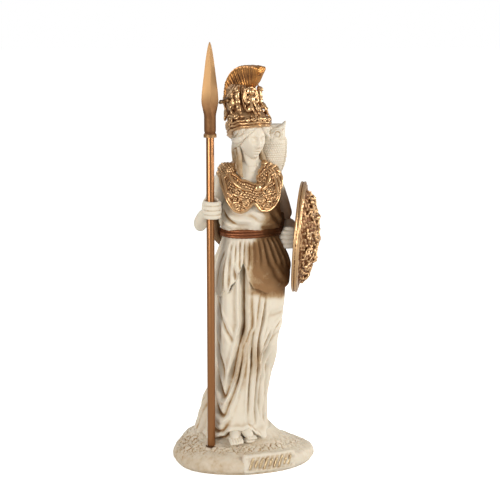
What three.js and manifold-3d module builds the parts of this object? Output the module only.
// A statuette of a helmeted goddess with spear, shield and owl, cast in cream resin stone.
// Millimetres, Z up. The figure faces -Y and its right hand, with the spear, is at -X.
// The origin is the centre of the plinth's underside.

import * as THREE from 'three';
import { mergeVertices } from 'three/addons/utils/BufferGeometryUtils.js';
import { ParametricGeometry } from 'three/addons/geometries/ParametricGeometry.js';
import Module from 'manifold-3d';

const wasm = await Module();
wasm.setup();

// Rock plinth
const plinthLength = 88;
const plinthDepth = 70;
const plinthEdge = 9.5;
const moundHeight = 15.5;

// Name plate on the front of the plinth
const plateLength = 34.5;
const plateHeight = 11.2;
const plateThickness = 3.4;
const plateLean = 0.12;
const strokeCount = 6;
const strokeHeight = 5.4;
const strokeWidth = 1.1;
const strokeRelief = 0.7;

// Figure, from its soles to the top of the crest
const figureHeight = 224;

// Room left round the shaft, and between pieces that touch
const fit = 0.3;

// Spear
const shaftDiameter = 4.7;
const shaftLength = 201.3;
const shaftBore = 7;
const headLength = 54.7;
const bladeWidth = 10.2;
const bladeThickness = 5;
const socketDiameter = 6.9;
const socketDepth = 9;
const collarDiameter = 7.6;
const collarHeight = 1.8;

// Shield
const shieldDiameter = 67;
const shieldDome = 8;
const shieldWall = 3;
const shieldRimWidth = 4.6;
const shieldRimThickness = 3.4;
const shieldRelief = 1.9;
const reliefFigures = 9;

// The figure's own forms are written for a height of 224 and grow with it
const canonHeight = 224;
const unit = figureHeight / canonHeight;
const soleZ = moundHeight - 0.5;

const fullTurn = Math.PI * 2;
const degree = Math.PI / 180;

// Small shaping functions
function bell(distance, width) {
  return Math.exp(-((distance / width) ** 2));
}

function ramp(value, from, to) {
  const share = THREE.MathUtils.clamp((value - from) / (to - from), 0, 1);
  return share * share * (3 - 2 * share);
}

// Angles run from the front, -Y, towards the figure's left, +X, between -180 and 180 degrees
function wrapped(angle) {
  return Math.atan2(Math.sin(angle), Math.cos(angle)) / degree;
}

// Rows of [height, centreX, centreY, halfWidth, halfDepth], read at any height along a smooth curve
function rowsAt(rows, height) {
  const last = rows.length - 1;
  const z = THREE.MathUtils.clamp(height, rows[0][0], rows[last][0]);
  let i = 0;
  while (i < last - 1 && z > rows[i + 1][0]) i += 1;
  const share = (z - rows[i][0]) / (rows[i + 1][0] - rows[i][0]);
  const column = (c) => {
    const p = [i - 1, i, i + 1, i + 2].map((k) => rows[THREE.MathUtils.clamp(k, 0, last)][c]);
    const slope = 0.5 * (p[2] - p[0]);
    const nextSlope = 0.5 * (p[3] - p[1]);
    const s2 = share * share;
    const s3 = s2 * share;
    return (2 * s3 - 3 * s2 + 1) * p[1] + (s3 - 2 * s2 + share) * slope
      + (3 * s2 - 2 * s3) * p[2] + (s3 - s2) * nextSlope;
  };
  return { x: column(1), y: column(2), wide: column(3), deep: column(4) };
}

function onRows(rows, angle, height, raise, target) {
  const row = rowsAt(rows, height);
  target.set(
    row.x + (row.wide + raise) * Math.sin(angle),
    row.y - (row.deep + raise) * Math.cos(angle),
    height,
  );
}

// A carved line over a skin: a polyline of [degrees, height], cut in or raised with soft ends
function carve(strokes, degreesRound, height, degreeLength) {
  let sum = 0;
  for (const { line, width, depth } of strokes) {
    let nearest = Infinity;
    let along = 0;
    for (let i = 0; i < line.length - 1; i += 1) {
      const ax = line[i][0] * degreeLength;
      const bx = line[i + 1][0] * degreeLength;
      const dx = bx - ax;
      const dz = line[i + 1][1] - line[i][1];
      const px = degreesRound * degreeLength - ax;
      const pz = height - line[i][1];
      const t = THREE.MathUtils.clamp((px * dx + pz * dz) / (dx * dx + dz * dz), 0, 1);
      const distance = Math.hypot(px - t * dx, pz - t * dz);
      if (distance < nearest) {
        nearest = distance;
        along = (i + t) / (line.length - 1);
      }
    }
    const ends = ramp(0.5 - Math.abs(along - 0.5), -0.06, 0.16);
    if (nearest < 3 * width) sum += depth * bell(nearest, width) * ends;
  }
  return sum;
}

// Solids
function solidOf(geometry) {
  const bare = geometry.clone();
  bare.deleteAttribute('normal');
  bare.deleteAttribute('uv');
  const merged = mergeVertices(bare, 0.0004);
  const position = merged.attributes.position;
  const index = merged.index.array;
  const [a, b, c] = [new THREE.Vector3(), new THREE.Vector3(), new THREE.Vector3()];
  const triangles = [];
  let volume = 0;
  for (let i = 0; i < index.length; i += 3) {
    const [p, q, r] = [index[i], index[i + 1], index[i + 2]];
    if (p === q || q === r || r === p) continue;
    a.fromBufferAttribute(position, p);
    b.fromBufferAttribute(position, q);
    c.fromBufferAttribute(position, r);
    volume += a.dot(b.cross(c));
    triangles.push([p, q, r]);
  }
  const outward = volume < 0 ? triangles.map(([p, q, r]) => [p, r, q]) : triangles;
  return new wasm.Manifold(new wasm.Mesh({
    numProp: 3,
    vertProperties: new Float32Array(position.array),
    triVerts: new Uint32Array(outward.flat()),
  }));
}

function joined(solids) {
  return solids.reduce((whole, solid) => whole.add(solid));
}

function meshOf(name, solid, material) {
  const { vertProperties, triVerts } = solid.getMesh();
  const geometry = new THREE.BufferGeometry();
  geometry.setAttribute('position', new THREE.BufferAttribute(vertProperties, 3));
  geometry.setIndex(new THREE.BufferAttribute(triVerts, 1));
  geometry.computeVertexNormals();
  const mesh = new THREE.Mesh(geometry, material);
  mesh.name = name;
  return mesh;
}

// The figure's forms come out at its real size, standing on the mound
function cast(geometry) {
  return solidOf(geometry.scale(unit, unit, unit).translate(0, 0, soleZ));
}

// A skin through rings at the given levels, closed at both ends by the ring's own centre.
// ring(angle, level, spread, target) gives the centre where spread is 0.
function stack(around, levels, ring, frontDensity = 0) {
  const last = levels.length + 1;
  return new ParametricGeometry((u, v, target) => {
    const step = Math.round(v * last);
    const level = levels[THREE.MathUtils.clamp(step - 1, 0, levels.length - 1)];
    const turned = (u % 1) * fullTurn;
    const angle = turned - frontDensity * Math.sin(turned);
    ring(angle, level, step === 0 || step === last ? 0 : 1, target);
  }, around, last);
}

function evenLevels(from, to, count) {
  return Array.from({ length: count }, (_, i) => from + (to - from) * i / (count - 1));
}

// A round-ended limb along a smooth line through points, with a radius at each end
function limb(points, rootRadius, tipRadius, around = 10, along = 8) {
  const curve = new THREE.CatmullRomCurve3(points.map((p) => new THREE.Vector3(...p)));
  const length = curve.getLength();
  const frameCount = 60;
  const frames = curve.computeFrenetFrames(frameCount);
  return new ParametricGeometry((u, v, target) => {
    const share = 0.5 - 0.5 * Math.cos(Math.PI * v);
    const radius = THREE.MathUtils.lerp(rootRadius, tipRadius, share);
    const inside = Math.min(share, 1 - share) * length;
    const round = inside < radius ? Math.sqrt(radius ** 2 - (radius - inside) ** 2) : radius;
    const frame = Math.round(share * frameCount);
    const turned = (u % 1) * fullTurn;
    target.copy(curve.getPointAt(share));
    target.addScaledVector(frames.normals[frame], round * Math.cos(turned));
    target.addScaledVector(frames.binormals[frame], round * Math.sin(turned));
  }, around, along);
}

// An egg shape: centre, half-sizes, and turns about Z and then Y
function egg(centre, half, around = 12, along = 8, turnZ = 0, turnY = 0) {
  const geometry = new THREE.SphereGeometry(1, around, along).rotateX(Math.PI / 2).scale(...half);
  return geometry.rotateY(turnY).rotateZ(turnZ).translate(...centre);
}

// Plinth: a low rounded rock, flat below, rising to the mound under the feet
const plinthOutlineSteps = 34;

function plinthReach(angle) {
  const lobes = 0.02 * Math.cos(2 * angle + 0.8) + 0.018 * Math.cos(3 * angle - 0.6);
  const knobs = 0.01 * Math.cos(5 * angle) - 0.012 * Math.sin(angle);
  return 1 + lobes + knobs - 0.12 * bell(wrapped(angle) - 128, 34);
}

function rubble(angle, share) {
  const lumps = Math.sin(7 * angle + 9 * share) * Math.cos(5 * angle - 13 * share);
  return 0.9 * lumps * bell(share - 0.66, 0.22);
}

// Rings of the rock: [share of its reach, share of the edge's height, share of the mound's rise]
const plinthShoulder = 1.12;
const plinthRings = [
  [0.955, 0, 0], [1, 0.3, 0], [0.985, 0.8, 0], [0.9, 1.08, 0], [0.76, plinthShoulder, 0.22],
  [0.6, plinthShoulder, 0.6], [0.38, plinthShoulder, 1.15],
];

function squared(value, power) {
  return Math.sign(value) * Math.abs(value) ** power;
}

function plinth() {
  const ring = (angle, [share, edgeShare, riseShare], spread, target) => {
    const reach = spread * share * plinthReach(angle);
    const rise = riseShare * (moundHeight - plinthEdge * plinthShoulder);
    target.set(
      0.5 * plinthLength * reach * squared(Math.sin(angle), 0.88),
      -0.5 * plinthDepth * reach * squared(Math.cos(angle), 0.88),
      edgeShare * plinthEdge + rise + (edgeShare > 1 ? spread * rubble(angle, share) : 0),
    );
  };
  return solidOf(stack(plinthOutlineSteps, plinthRings, ring));
}

// Name plate: a slab leaning on the rock, with a row of slanted strokes that spell nothing
const plateX = 4.5;
const plateFront = -0.5 * plinthDepth - 0.8;
const plateFoot = 1.2;

function slab(length, height, thickness, corner, bevel) {
  const shape = new THREE.Shape();
  const [x, y] = [0.5 * length - bevel, 0.5 * height - bevel];
  shape.moveTo(-x + corner, -y);
  shape.lineTo(x - corner, -y);
  shape.quadraticCurveTo(x, -y, x, -y + corner);
  shape.lineTo(x, y - corner);
  shape.quadraticCurveTo(x, y, x - corner, y);
  shape.lineTo(-x + corner, y);
  shape.quadraticCurveTo(-x, y, -x, y - corner);
  shape.lineTo(-x, -y + corner);
  shape.quadraticCurveTo(-x, -y, -x + corner, -y);
  return new THREE.ExtrudeGeometry(shape, {
    depth: thickness - 2 * bevel, bevelEnabled: bevel > 0, bevelSize: bevel, bevelThickness: bevel,
    bevelSegments: 1, curveSegments: 1, steps: 1,
  }).translate(0, 0, bevel - thickness);
}

function onPlate(geometry) {
  return geometry.rotateX(0.5 * Math.PI - plateLean)
    .translate(plateX, plateFront, plateFoot + 0.5 * plateHeight);
}

function namePlate() {
  const plate = solidOf(onPlate(slab(plateLength, plateHeight, plateThickness, 1.4, 0.5)));
  const pitch = 0.74 * plateLength / strokeCount;
  const strokes = Array.from({ length: strokeCount }, (_, i) => {
    const tall = strokeHeight * (i % 3 === 1 ? 0.62 : 1);
    const bar = new THREE.BoxGeometry(strokeWidth, tall, 2 * strokeRelief);
    const lean = i % 2 ? -0.3 : 0.3;
    return solidOf(onPlate(bar.rotateZ(lean).translate((i - 0.5 * (strokeCount - 1)) * pitch, 0, 0)));
  });
  return joined([plate, ...strokes]);
}

// Robe from the waist to the ground
const skirtRows = [
  [-4, -5, 1.5, 21.5, 19], [2, -5, 1.2, 20.5, 18.2], [10, -5.2, 1, 18.8, 17],
  [25, -3.8, 0.5, 17, 15.6], [45, -1.2, 0, 18.2, 15.4], [58, 0.2, 0, 19.6, 16],
  [70, 1.5, 0, 21, 16.6], [88, 3.8, 0.5, 22.4, 16.4], [104, 4.2, 0.5, 21.4, 15],
  [115, 3.9, 0.3, 18.6, 13.2], [123.4, 3.6, 0, 16.8, 11.6], [129, 3.6, 0, 16.6, 11.4],
];

const skirtFolds = [
  { line: [[-29, 112], [-27, 92], [-25, 74], [-33, 52], [-38, 38]], width: 2.6, depth: -3.6 },
  { line: [[-12, 84], [-15, 66], [-22, 48], [-27, 26]], width: 2.2, depth: -2.4 },
  { line: [[2, 90], [-3, 60], [2, 34], [6, 8]], width: 2.2, depth: -2.2 },
  { line: [[14, 88], [10, 66], [14, 44], [22, 14]], width: 2.4, depth: -2 },
  { line: [[18, 56], [32, 46], [36, 34], [32, 20]], width: 5.5, depth: -2.4 },
  { line: [[-92, 42], [-70, 31], [-50, 25], [-38, 34]], width: 2.4, depth: -1.9 },
  { line: [[-88, 27], [-64, 17], [-48, 11], [-32, 20]], width: 2.4, depth: -1.7 },
  { line: [[-84, 72], [-70, 56], [-60, 46]], width: 2.4, depth: -1.1 },
  { line: [[-7, 84], [-10, 60], [-16, 38], [-38, 10]], width: 2, depth: 1.8 },
  { line: [[-62, 96], [-56, 72], [-54, 42]], width: 7, depth: 2.2 },
  { line: [[34, 100], [37, 84], [38, 66]], width: 7.5, depth: 2.8 },
];

const millimetresPerDegree = 0.33;

function backFolds(degreesRound, height) {
  const away = ramp(Math.abs(degreesRound), 78, 118);
  return away * (1.3 * Math.cos((degreesRound - 0.12 * height) * degree * 13) - 0.3)
    * ramp(125 - height, 0, 40);
}

function skirtRaise(degreesRound, height) {
  return carve(skirtFolds, degreesRound, height, millimetresPerDegree) + backFolds(degreesRound, height);
}

// The skirt draws in under the overfold, which hides its upper end
const skirtSteps = 36;
const tuckDepth = 4;

function skirt() {
  const ring = (angle, height, spread, target) => {
    const round = wrapped(angle);
    const hem = readLine(overfoldHem, round);
    const tuck = tuckDepth * ramp(height, hem + 1, hem + 5);
    onRows(skirtRows, angle, height, skirtRaise(round, height) - tuck, target);
    if (spread === 0) target.set(rowsAt(skirtRows, height).x, 0, height);
  };
  return cast(stack(skirtSteps, evenLevels(-4, 114, 15), ring, 0.5));
}

// The end of the robe trailing on the rock behind the spear
function train() {
  return cast(limb([[-15, 9, 31], [-20.6, 9, 21], [-23, 9, 10], [-24.4, 9, -2]], 4.4, 6, 7, 5));
}

// Overfold of the robe, hanging from the belt, low at the figure's right and drawn up at the front
const overfoldHem = [
  [-180, 96], [-120, 92], [-82, 89.5], [-58, 90], [-48, 92.5], [-38, 98], [-28, 106],
  [-20, 98.5], [-9, 93], [12, 89.6], [38, 91], [90, 94], [180, 96],
];

function readLine(line, degreesRound) {
  let i = 0;
  while (i < line.length - 2 && degreesRound > line[i + 1][0]) i += 1;
  const share = ramp(degreesRound, line[i][0], line[i + 1][0]);
  return THREE.MathUtils.lerp(line[i][1], line[i + 1][1], share);
}

const overfoldFolds = [
  { line: [[-74, 122], [-84, 104], [-86, 90]], width: 1.8, depth: 1.5 },
  { line: [[-66, 122], [-70, 104], [-68, 90]], width: 1.8, depth: 1.6 },
  { line: [[-52, 122], [-54, 108], [-52, 92]], width: 1.8, depth: 1.6 },
  { line: [[-38, 122], [-40, 110], [-38, 98]], width: 1.6, depth: 1.5 },
  { line: [[-26, 122], [-27, 114], [-27, 107]], width: 1.6, depth: 1.4 },
  { line: [[-12, 122], [-12, 112], [-13, 96]], width: 1.6, depth: 1.2 },
  { line: [[4, 122], [5, 110], [5, 92]], width: 1.6, depth: 1.2 },
  { line: [[20, 122], [24, 108], [25, 91]], width: 1.6, depth: 1.2 },
  { line: [[38, 122], [44, 108], [46, 92]], width: 1.6, depth: 1.2 },
];

function overfold() {
  const ring = (angle, share, spread, target) => {
    const round = wrapped(angle);
    const hem = readLine(overfoldHem, round);
    const height = THREE.MathUtils.lerp(beltLevel, hem, share);
    const pleats = carve(overfoldFolds, round, height, millimetresPerDegree)
      + share * ramp(Math.abs(round), 60, 110) * 0.9 * Math.cos(round * degree * 15);
    onRows(skirtRows, angle, height, 0.5 + 1.7 * Math.min(1, 3 * share) + pleats, target);
    if (spread === 0) target.set(4, 0, share > 0.5 ? 108 : beltLevel);
  };
  return cast(stack(skirtSteps, [0, 0.4, 1], ring, 0.5));
}

// Blouse above the belt, chest and shoulders
const chestRows = [
  [116, 3.8, 0, 16.4, 11.2], [124, 3.6, 0, 16.6, 11.4], [128.4, 3.4, -0.2, 18.4, 13.2],
  [131.6, 3.2, -0.6, 19.1, 14.2], [137, 3.2, -0.8, 18.3, 13.4], [143, 3.6, -0.6, 17.8, 12.2],
  [149, 4.2, -0.2, 18.6, 11.6], [155, 4.4, 0.4, 19.2, 10.4], [160, 4.4, 1.2, 18, 8.8],
  [164, 4.2, 1.6, 14, 7.6], [167, 3.6, 1.2, 8.6, 6.6], [170, 3.2, 1, 6, 5.8],
];

const blouseFolds = [
  { line: [[-70, 138], [-44, 131], [-14, 129], [12, 131]], width: 1.7, depth: -1.2 },
  { line: [[-60, 129], [-34, 126.5], [-8, 126.5]], width: 1.5, depth: 1 },
  { line: [[-6, 138], [8, 132], [30, 130]], width: 1.7, depth: 1 },
  { line: [[40, 140], [34, 132], [40, 127]], width: 1.8, depth: -1 },
];

const breasts = [[-38, 147.5], [14, 147.5]];

function chestRaise(round, height) {
  const swell = breasts.map(([side, level]) => bell(Math.hypot((round - side) * 0.3, height - level), 6.4));
  return 4 * (swell[0] + swell[1]) + carve(blouseFolds, round, height, millimetresPerDegree);
}

function chest() {
  const ring = (angle, height, spread, target) => {
    const tuck = 2.4 * ramp(height, 139, 145);
    onRows(chestRows, angle, height, chestRaise(wrapped(angle), height) - tuck, target);
    if (spread === 0) target.set(rowsAt(chestRows, height).x, 0, height);
  };
  return cast(stack(24, [122.6, 128.2, 131.6, 135.4, 140, 147, 155, 163], ring, 0.35));
}

// Twisted belt round the waist
const beltLevel = 125.3;
const beltHalfHeight = 2.6;
const beltTwists = 9;

function belt() {
  const band = new ParametricGeometry((u, v, target) => {
    const angle = (u % 1) * fullTurn;
    const row = rowsAt(skirtRows, beltLevel);
    const round = (v % 1) * fullTurn;
    const strands = 0.35 * Math.cos(2 * round + beltTwists * angle);
    const reach = (1.7 + strands) * Math.cos(round) + 1;
    target.set(
      row.x + (row.wide + reach) * Math.sin(angle),
      row.y - (row.deep + reach) * Math.cos(angle),
      beltLevel + beltHalfHeight * Math.sin(round),
    );
  }, 30, 5);
  return cast(band);
}

// Aegis: the scaled cape over shoulders and breasts, with a V at the neck and coiled snakes at its edge
const aegisLow = [
  [-180, 146], [-124, 149], [-104, 156], [-84, 154.6], [-69, 149.5], [-56, 142.6], [-40, 139.6],
  [-24, 139.6], [-11, 143], [2, 140], [18, 140.4], [30, 144.4], [40, 154], [60, 159], [84, 159],
  [112, 152], [180, 146],
];
const aegisTop = [
  [-180, 168], [-80, 167.4], [-52, 163.4], [-5, 155.2], [4, 162.4], [22, 166], [60, 168], [180, 168],
];
const aegisThickness = 1.5;

function aegisPoint(angle, share, raise, target) {
  const round = wrapped(angle);
  const height = THREE.MathUtils.lerp(readLine(aegisTop, round), readLine(aegisLow, round), share);
  onRows(chestRows, angle, height, raise + chestRaise(round, height), target);
}

// The cape's lower edge is rolled into a rope of snakes
const snakeRoll = 1.6;
const snakeTurns = 12;

function aegisCape() {
  const ring = (angle, share, spread, target) => {
    const twist = 0.75 + 0.4 * Math.cos(snakeTurns * angle + 9 * share);
    const coil = snakeRoll * bell(share - 0.86, 0.12) * twist;
    aegisPoint(angle, share, aegisThickness + coil, target);
    if (spread === 0) target.set(4, 0.5, share > 0.5 ? 146 : 154);
  };
  return cast(stack(32, [0, 0.28, 0.56, 0.74, 0.88, 1], ring, 0.36));
}

// A curled snake under each breast and the boss at the foot of the V
function aegisBosses() {
  const spot = new THREE.Vector3();
  return joined([[-38, 0.9, 2.8], [13, 0.9, 2.8], [-3, 0.3, 2.6]].map(([side, share, size]) => {
    aegisPoint(side * degree, share, 1.8, spot);
    return cast(egg(spot.toArray(), [size, 0.6 * size, size], 6, 4));
  }));
}

// Neck and head. The face is a calm general one, set out in thirds from chin to hairline.
const headX = 2.6;
const headY = -1.6;
const chinLevel = 169;
const crownLevel = 197;
const faceThird = 7;
const headHalfWidth = 7.9;
const headHalfDepth = 9.8;

function neck() {
  return cast(limb([[3.4, 1.2, 154], [3.2, 0.6, 165], [2.8, -0.4, 177]], 7, 5.6, 12, 4));
}

function head() {
  const noseBase = chinLevel + faceThird;
  const brow = chinLevel + 2 * faceThird;
  const eyes = brow - 1.7;
  const mouth = chinLevel + 0.64 * faceThird;
  const ring = (angle, share, spread, target) => {
    const height = THREE.MathUtils.lerp(chinLevel - 0.6, crownLevel, share);
    const swell = Math.sqrt(Math.max(0, 1 - (2 * share - 1) ** 4));
    const jaw = 0.66 + 0.34 * ramp(share, 0, 0.42);
    const side = headHalfWidth * swell * jaw * Math.sin(angle);
    const front = ramp(60 - Math.abs(wrapped(angle)), 0, 40);
    const bridge = ramp(brow - height, -1, brow - noseBase - 1);
    const nose = 2.3 * bell(side, 1.25) * bridge * ramp(height, noseBase - 1.3, noseBase + 0.4);
    const sockets = -1.5 * bell(Math.abs(side) - 3.3, 1.8) * bell(height - eyes, 1.5);
    const lips = 0.8 * bell(side, 2) * bell(height - mouth, 1.1);
    const chin = 0.9 * bell(side, 2.6) * bell(height - chinLevel - 1.5, 1.8);
    const cheeks = 0.5 * bell(Math.abs(side) - 4, 2.2) * bell(height - noseBase - 1, 2.6);
    const raise = front * (nose + sockets + lips + chin + cheeks);
    const deep = headHalfDepth * swell * (0.8 + 0.2 * ramp(share, 0, 0.5));
    target.set(headX + spread * side, headY - spread * (deep + raise) * Math.cos(angle), height);
  };
  const levels = [0, 0.05, 0.12, 0.18, 0.24, 0.29, 0.38, 0.45, 0.52, 0.66, 0.9];
  return cast(stack(20, levels, ring, 0.6));
}

// Hair waved back from a middle parting, gathered behind, with a lock down each side of the neck
function hair() {
  return joined([
    cast(limb([[1.6, -9.4, 190], [-4, -8.8, 186.2], [-7.2, -4.4, 182.6], [-7.6, 1, 179.4]], 2.2, 4, 6, 5)),
    cast(limb([[3.6, -9.4, 190], [9.2, -8.8, 186.2], [12.4, -4.4, 182.6], [12.8, 1, 179.4]], 2.2, 4, 6, 5)),
    cast(limb([[-6, 3, 179], [-6.6, 1.4, 171], [-9.6, -3.8, 161]], 3.6, 1.8, 5, 4)),
    cast(limb([[11, 3, 179], [10.8, 1, 171], [10.4, -4.4, 163.4]], 3.4, 1.8, 5, 4)),
    cast(limb([[2.6, 4, 184], [2.8, 9, 172], [3, 9, 152]], 9.4, 3.6, 9, 6)),
  ]);
}

// Helmet: bowl with a diadem over the brow, a ring of crouching beasts and a tall crest
const helmetLow = [
  [-180, 176], [-120, 178], [-80, 183], [-50, 187], [0, 189], [50, 187], [80, 183], [120, 178], [180, 176],
];
const helmetTop = 212.6;
const helmetRows = [
  [175, 2.2, 4.5, 9.4, 10], [183, 2, 1.2, 10.8, 12.2], [188, 2, -0.6, 12, 13],
  [190.4, 2, -0.8, 13.2, 13.8], [192.6, 1.8, -0.6, 13.4, 13.6], [194.6, 1.5, 0, 12.2, 12],
  [197, 1.2, 0.4, 11.2, 11], [201, 0.8, 0.8, 11.4, 10.6], [206, 0.6, 0.8, 11.8, 10.2],
  [210, 0.6, 0.6, 11, 9.4], [helmetTop, 0.8, 0.4, 8, 7.4],
];

function helmetRaise(round, height) {
  const zone = ramp(height, 195.5, 199) * ramp(helmetTop + 0.4 - height, 0, 4);
  const beasts = 1.9 * Math.cos((round + 6) * degree * 7) * zone;
  const guard = -1.2 * bell(height - 195, 1) * ramp(Math.abs(round), 0, 30);
  return beasts + guard;
}

function helmetBowl() {
  const ring = (angle, share, spread, target) => {
    const round = wrapped(angle);
    const height = THREE.MathUtils.lerp(readLine(helmetLow, round), helmetTop, share);
    onRows(helmetRows, angle, height, helmetRaise(round, height), target);
    if (spread === 0) target.set(2, 0, share > 0.5 ? helmetTop + 0.8 : 190);
  };
  return cast(stack(26, [0, 0.14, 0.24, 0.36, 0.46, 0.6, 0.8, 0.95], ring, 0.2));
}

function helmetBeasts() {
  return joined([
    cast(egg([-9.6, -0.6, 204.6], [3.2, 6.4, 7.4], 8, 5, 0.2, 0.14)),
    cast(egg([11.8, -0.6, 203.6], [3.2, 6.4, 7], 8, 5, -0.2, -0.14)),
    cast(egg([9, -10.4, 192.8], [4.8, 2.4, 2], 6, 4, 0.7)),
  ]);
}

// Crest: a flared brush from the overhanging front tip to the low tail, in the figure's middle plane
const crestOuter = [
  [-16.8, 220.4], [-15.4, 223.6], [-5, 224], [4, 223.2], [10.4, 220.4],
  [15.6, 215], [19, 207], [20, 198], [18.6, 189],
];
const crestInner = [
  [-14.2, 218.6], [-9.8, 213.4], [-5.4, 210.4], [-1, 209.4], [4, 207.6],
  [8, 204], [11, 199], [12, 193], [13, 187.6],
];
const crestHalfWidths = [1.6, 4.8, 6, 6.8, 8, 9, 8.4, 6.4, 3.4];
const crestX = 1.8;

function crest() {
  const ring = (angle, station, spread, target) => {
    const [outer, inner, half] = [crestOuter[station], crestInner[station], crestHalfWidths[station]];
    const share = 0.5 + 0.5 * spread * Math.cos(angle);
    const flare = 0.6 + 0.4 * share;
    target.set(
      crestX + spread * half * flare * Math.sin(angle) * (1.1 - 0.1 * Math.cos(6 * angle)),
      THREE.MathUtils.lerp(inner[0], outer[0], share),
      THREE.MathUtils.lerp(inner[1], outer[1], share),
    );
  };
  return cast(stack(10, crestOuter.map((_, i) => i), ring));
}

// Arms. The right hand closes round the spear, the left hand holds the shield's back.
const spearX = -25.6 * unit;
const spearY = -11 * unit;
const gripLevel = 141.2;
const fingerRadius = 1.36;
const fingerPitch = 2.75;

function rightArm() {
  return joined([
    cast(limb([[-11.6, 1.4, 161.4], [-18.6, 3, 145], [-24.8, 6.4, 128.2]], 6.8, 4, 9, 6)),
    cast(limb([[-24.8, 6.6, 128], [-27.2, 2, 131], [-29, -4.4, 136.8], [-29.6, -8, 140]], 4.2, 3.1, 8, 5)),
  ]);
}

function rightHand() {
  const [x, y] = [spearX / unit, spearY / unit];
  const gripRadius = (0.5 * shaftDiameter + fit) / unit;
  const wrap = gripRadius + 0.8 * fingerRadius;
  const forms = [cast(egg([x - wrap, y + 1.8, gripLevel], [2.6, 4.4, 5.8], 8, 5))];
  for (let i = 0; i < 4; i += 1) {
    const level = gripLevel + (1.5 - i) * fingerPitch;
    const bend = [190, 240, 290, 340, 385].map((a) => [
      x + wrap * Math.cos(a * degree), y + wrap * Math.sin(a * degree), level,
    ]);
    forms.push(cast(limb(bend, fingerRadius, fingerRadius * 0.9, 5, 5)));
  }
  forms.push(cast(limb([
    [x - wrap, y + 3.6, gripLevel + 3.4],
    [x + 0.4, y + wrap + 0.6, gripLevel + 5],
    [x + wrap, y + 1.6, gripLevel + 4.4],
  ], 1.7, 1.4, 5, 4)));
  return joined(forms);
}

function leftArm() {
  return joined([
    cast(limb([[17, 1.4, 160.8], [24.4, 6, 143], [31, 11.6, 129.4]], 6.6, 4.4, 9, 6)),
    cast(limb([[31, 11.6, 129], [30, 6, 124.4], [26.8, -1, 121.2]], 4.6, 3.2, 9, 4)),
  ]);
}

const leftFist = [24.6, -4.6, 120];
const leftFingerBend = [[-1.6, 3], [-3.6, -0.6], [-1.4, -3.6], [3.4, -4.4]];

function leftHand() {
  const [x, y, z] = leftFist;
  const forms = [cast(egg([x + 1, y + 1, z], [4.2, 4.4, 5.4], 8, 5))];
  for (let i = 0; i < 4; i += 1) {
    const level = z + (1.5 - i) * fingerPitch;
    const bend = leftFingerBend.map(([dx, dy]) => [x + dx, y + dy, level]);
    forms.push(cast(limb(bend, fingerRadius, fingerRadius, 5, 4)));
  }
  const thumb = [[x - 1.4, y + 1, z + 4.6], [x, y - 2.6, z + 5.8], [x + 4, y - 4, z + 5.4]];
  forms.push(cast(limb(thumb, 1.7, 1.3, 5, 4)));
  return joined(forms);
}

// Feet under the hem: toes of the right, the sandalled left behind it, and a roll of cloth on the instep
function feet() {
  const toes = Array.from({ length: 5 }, (_, i) => {
    const x = -16.6 + 1.6 * i;
    const y = -20.4 - 0.8 * Math.sin(Math.PI * (i + 2) / 6);
    const radius = i === 4 ? 1.3 : 1;
    return cast(limb([[x + 0.8, y + 4, 2.4], [x, y, 1.4], [x - 0.2, y - 1.8, 0.6]], radius, radius, 5, 3));
  });
  return joined([
    ...toes,
    cast(limb([[-10, -8, 8], [-12, -14, 4.6], [-13.4, -18.6, 1.5]], 4.4, 3.6, 7, 4)),
    cast(limb([[-4.8, -10, 9], [-4.4, -14.6, 6.2], [-3.2, -19.6, 2.6]], 4.2, 3, 7, 4)),
    cast(egg([-3.6, -16.8, 0.6], [4.2, 5.6, 1.4], 8, 3, 0.25)),
  ]);
}

// Owl on the left shoulder, beside the head
const owlRows = [
  [158, 19.5, 4.5, 3, 3.6], [163, 19, 4.4, 5.6, 5.4], [169, 18.8, 4, 7.2, 6.4], [176, 18.2, 3.6, 8, 6.8],
  [182, 17.9, 3.4, 8.4, 6.4], [186, 17.9, 3.4, 8.6, 5.6], [188.4, 17.9, 3.4, 8.2, 4.4],
];

function owl() {
  const ring = (angle, height, spread, target) => {
    const round = wrapped(angle);
    const wing = 0.9 * bell(Math.abs(round) - 78, 26) * ramp(180 - height, 0, 6);
    onRows(owlRows, angle, height, wing, target);
    if (spread === 0) target.set(rowsAt(owlRows, height).x, 3.4, height - (height > 180 ? 0.9 : 0));
  };
  const body = cast(stack(14, [158, 162, 167, 173, 180, 186.4, 188.4], ring));
  const forms = [body];
  for (const side of [-1, 1]) {
    const x = 17.9 + side * 3.7;
    forms.push(cast(egg([x, -1.9, 182.8], [3.3, 1.3, 3.3], 8, 4)));
    forms.push(cast(egg([x, -2.8, 182.8], [1.3, 1.5, 1.3], 5, 3)));
    forms.push(cast(limb([[17.9 + side * 5.4, 1.6, 185.6], [17.9 + side * 8, 1.4, 189]], 2, 0.7, 5, 3)));
  }
  forms.push(cast(limb([[17.9, -2.4, 182.6], [17.9, -4, 180.6], [17.9, -3.2, 179]], 1.2, 0.6, 5, 3)));
  return joined(forms);
}

// Shield: a shallow dome with a stepped rim and a ring of relief figures, standing on edge by the left hip
const shieldPlace = new THREE.Vector3(32.6, -5.4, 120.8);
const shieldCentre = shieldPlace.clone().multiplyScalar(unit).add(new THREE.Vector3(0, 0, soleZ));
const shieldFacing = new THREE.Vector3(0.9, -0.43, -0.07).normalize();
const rimChamfer = 0.9;
const shieldSteps = 32;

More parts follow.
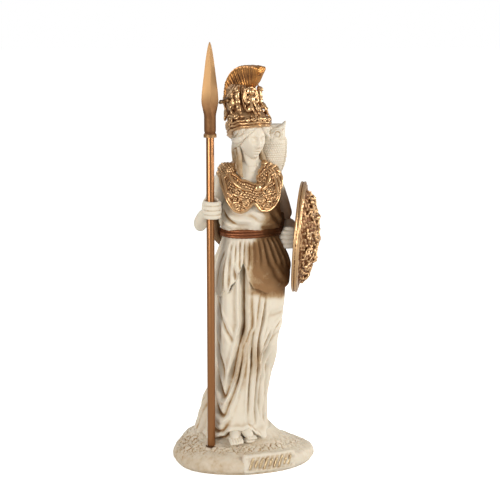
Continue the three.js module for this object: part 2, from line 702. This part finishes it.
// A dish profile from the axis at the back, round the rim, to the axis at the front, grown all over
function shieldProfile(grow) {
  const outer = 0.5 * shieldDiameter;
  const inner = outer - shieldRimWidth;
  const half = 0.5 * shieldRimThickness;
  const hollow = [[0, 1], [0.5, 0.75], [0.85, 0.28]];
  const back = hollow.map(([out, share]) => [out * inner, share * (shieldDome - shieldWall) - grow]);
  const rim = [
    [inner, -half - grow], [outer - rimChamfer, -half - grow], [outer + grow, -half + rimChamfer - grow],
    [outer + grow, half - rimChamfer + grow], [outer - rimChamfer, half + grow], [inner, half + grow],
  ];
  const dome = [[0.94, 0.12], [0.78, 0.4], [0.6, 0.64], [0.42, 0.82], [0.22, 0.95], [0, 1]];
  const face = dome.map(([out, share]) => [out * inner, share * shieldDome + 0.4 * half + grow]);
  return [...back, ...rim, ...face].map(([radius, height]) => new THREE.Vector2(radius, height));
}

// The relief: two rings of bodies leaning to and fro round the dome, and a boss in the middle
function shieldFigures(radius, angle) {
  const share = radius / (0.5 * shieldDiameter - shieldRimWidth);
  const wave = (count, slant) => Math.max(0, Math.cos(count * angle + slant * share));
  const bodies = wave(reliefFigures, 5) + 0.5 * wave(2 * reliefFigures, -8);
  const outerRing = bell(share - 0.76, 0.14) * (0.25 + bodies);
  const innerRing = bell(share - 0.42, 0.1) * (0.3 + 0.8 * wave(reliefFigures - 3, -6));
  return shieldRelief * (outerRing + innerRing + 1.1 * bell(share, 0.2));
}

function dish(grow, figures) {
  const geometry = new THREE.LatheGeometry(shieldProfile(grow), shieldSteps).rotateX(0.5 * Math.PI);
  const position = geometry.attributes.position;
  for (let i = 0; i < position.count; i += 1) {
    const [x, y, z] = [position.getX(i), position.getY(i), position.getZ(i)];
    const radius = Math.hypot(x, y);
    const insideRim = radius < 0.5 * shieldDiameter - 1.05 * shieldRimWidth;
    const raised = figures && insideRim && z > shieldFloor(radius);
    position.setZ(i, z + (raised ? shieldFigures(radius, Math.atan2(y, x)) : 0));
  }
  const turned = new THREE.Quaternion().setFromUnitVectors(new THREE.Vector3(0, 0, 1), shieldFacing);
  return solidOf(geometry.applyQuaternion(turned).translate(...shieldCentre));
}

// Half way through the dome's wall, to tell its face from its back
function shieldFloor(radius) {
  const share = radius / (0.5 * shieldDiameter - shieldRimWidth);
  return (shieldDome - 0.5 * shieldWall) * (1 - share ** 2);
}

function shield() {
  return dish(0, true);
}

// The left hand and forearm are let into the shield's back by a stub that ends short of it
function shieldStub() {
  const [x, y, z] = leftFist;
  return cast(limb([[x + 1, y + 0.6, z], shieldPlace.toArray()], 3.6, 3.6, 7, 3));
}

// Spear: a plain rod through the right hand into the rock, under a socketed leaf blade
const boreFloor = THREE.MathUtils.lerp(plinthEdge * plinthShoulder, moundHeight, 0.35) - shaftBore;
const shaftFoot = boreFloor + fit;
const shaftTop = shaftFoot + shaftLength;
const collarFoot = shaftTop + fit - socketDepth;

function rod(radius, from, to, sides) {
  return solidOf(new THREE.CylinderGeometry(radius, radius, to - from, sides)
    .rotateX(0.5 * Math.PI).translate(spearX, spearY, 0.5 * (from + to)));
}

// A solid round bar on the spear's axis with both ends bevelled
function bevelledBar(radius, foot, length, bevel) {
  const profile = [
    [0, 0], [radius - bevel, 0], [radius, bevel],
    [radius, length - bevel], [radius - bevel, length], [0, length],
  ].map(([r, h]) => new THREE.Vector2(r, h));
  return solidOf(new THREE.LatheGeometry(profile, 12).rotateX(0.5 * Math.PI).translate(spearX, spearY, foot));
}

function spearShaft() {
  return bevelledBar(0.5 * shaftDiameter, shaftFoot, shaftLength, 0.4);
}

// The blade's section turns from the round socket to a lozenge, edges facing left and right
const bladeStations = [
  [0.01, 0.68], [0.2, 0.8], [0.26, 0.93], [0.32, 0.93], [0.36, 0.98], [0.4, 1], [0.48, 0.94], [0.59, 0.79],
  [0.7, 0.64], [0.8, 0.51], [0.9, 0.34], [0.97, 0.17],
];
const bladeTurn = -0.1;

function spearHead() {
  const socketR = 0.5 * socketDiameter;
  const collar = bevelledBar(0.5 * collarDiameter, collarFoot, collarHeight, 0.5);
  const ring = (angle, [share, width], spread, target) => {
    const flat = ramp(share, 0.2, 0.36);
    const halfWidth = THREE.MathUtils.lerp(socketR, 0.5 * bladeWidth * width, flat);
    const halfThick = THREE.MathUtils.lerp(socketR, 0.5 * bladeThickness * Math.min(1, 1.2 * width), flat);
    const sharp = 1 - flat * 0.28 * Math.abs(Math.sin(2 * angle));
    const tip = spread === 0 && share > 0.5 ? 1 : share;
    target.set(
      spread * halfWidth * sharp * Math.cos(angle),
      spread * halfThick * sharp * Math.sin(angle),
      tip * headLength,
    );
  };
  const blade = stack(10, bladeStations, ring).rotateZ(bladeTurn).translate(spearX, spearY, collarFoot);
  const bore = rod(0.5 * shaftDiameter + fit, collarFoot - 1, shaftTop + fit, 12);
  return joined([collar, solidOf(blade)]).subtract(bore);
}

// The lug cast on the helmet's side that steadies the blade
function bladeLug() {
  const [x, y] = [spearX / unit, spearY / unit];
  const level = 203.6;
  const reach = 0.5 * bladeWidth / unit;
  return cast(limb([[-9, -3, level], [x + reach + 1.4, y + 2.6, level - 0.5]], 1.8, 1.1, 6, 3));
}

// Assembly
const colours = { cream: 0xe3d8c3, gilt: 0xc0904f, bronze: 0x9a6a3f };
const cream = new THREE.MeshStandardMaterial({ color: colours.cream, roughness: 0.62, metalness: 0 });
const gilt = new THREE.MeshStandardMaterial({ color: colours.gilt, roughness: 0.34, metalness: 0.8 });
const bronze = new THREE.MeshStandardMaterial({ color: colours.bronze, roughness: 0.3, metalness: 0.85 });

function figure() {
  const robe = [skirt(), train(), overfold(), chest(), belt()];
  const cape = [aegisCape(), aegisBosses()];
  const crown = [neck(), head(), hair(), helmetBowl(), helmetBeasts(), crest(), bladeLug()];
  const limbs = [rightArm(), rightHand(), leftArm(), leftHand(), shieldStub(), feet()];
  const whole = joined([plinth(), namePlate(), ...robe, ...cape, ...crown, ...limbs, owl()]);
  const shaftRoom = rod(0.5 * shaftDiameter + fit, boreFloor, shaftTop + fit, 12);
  return whole.subtract(shaftRoom).subtract(dish(fit, false));
}

const statuette = new THREE.Group();
statuette.add(meshOf('figure', figure(), cream));
statuette.add(meshOf('spear_shaft', spearShaft(), bronze));
statuette.add(meshOf('spear_head', spearHead(), gilt));
statuette.add(meshOf('shield', shield(), gilt));

export default statuette;
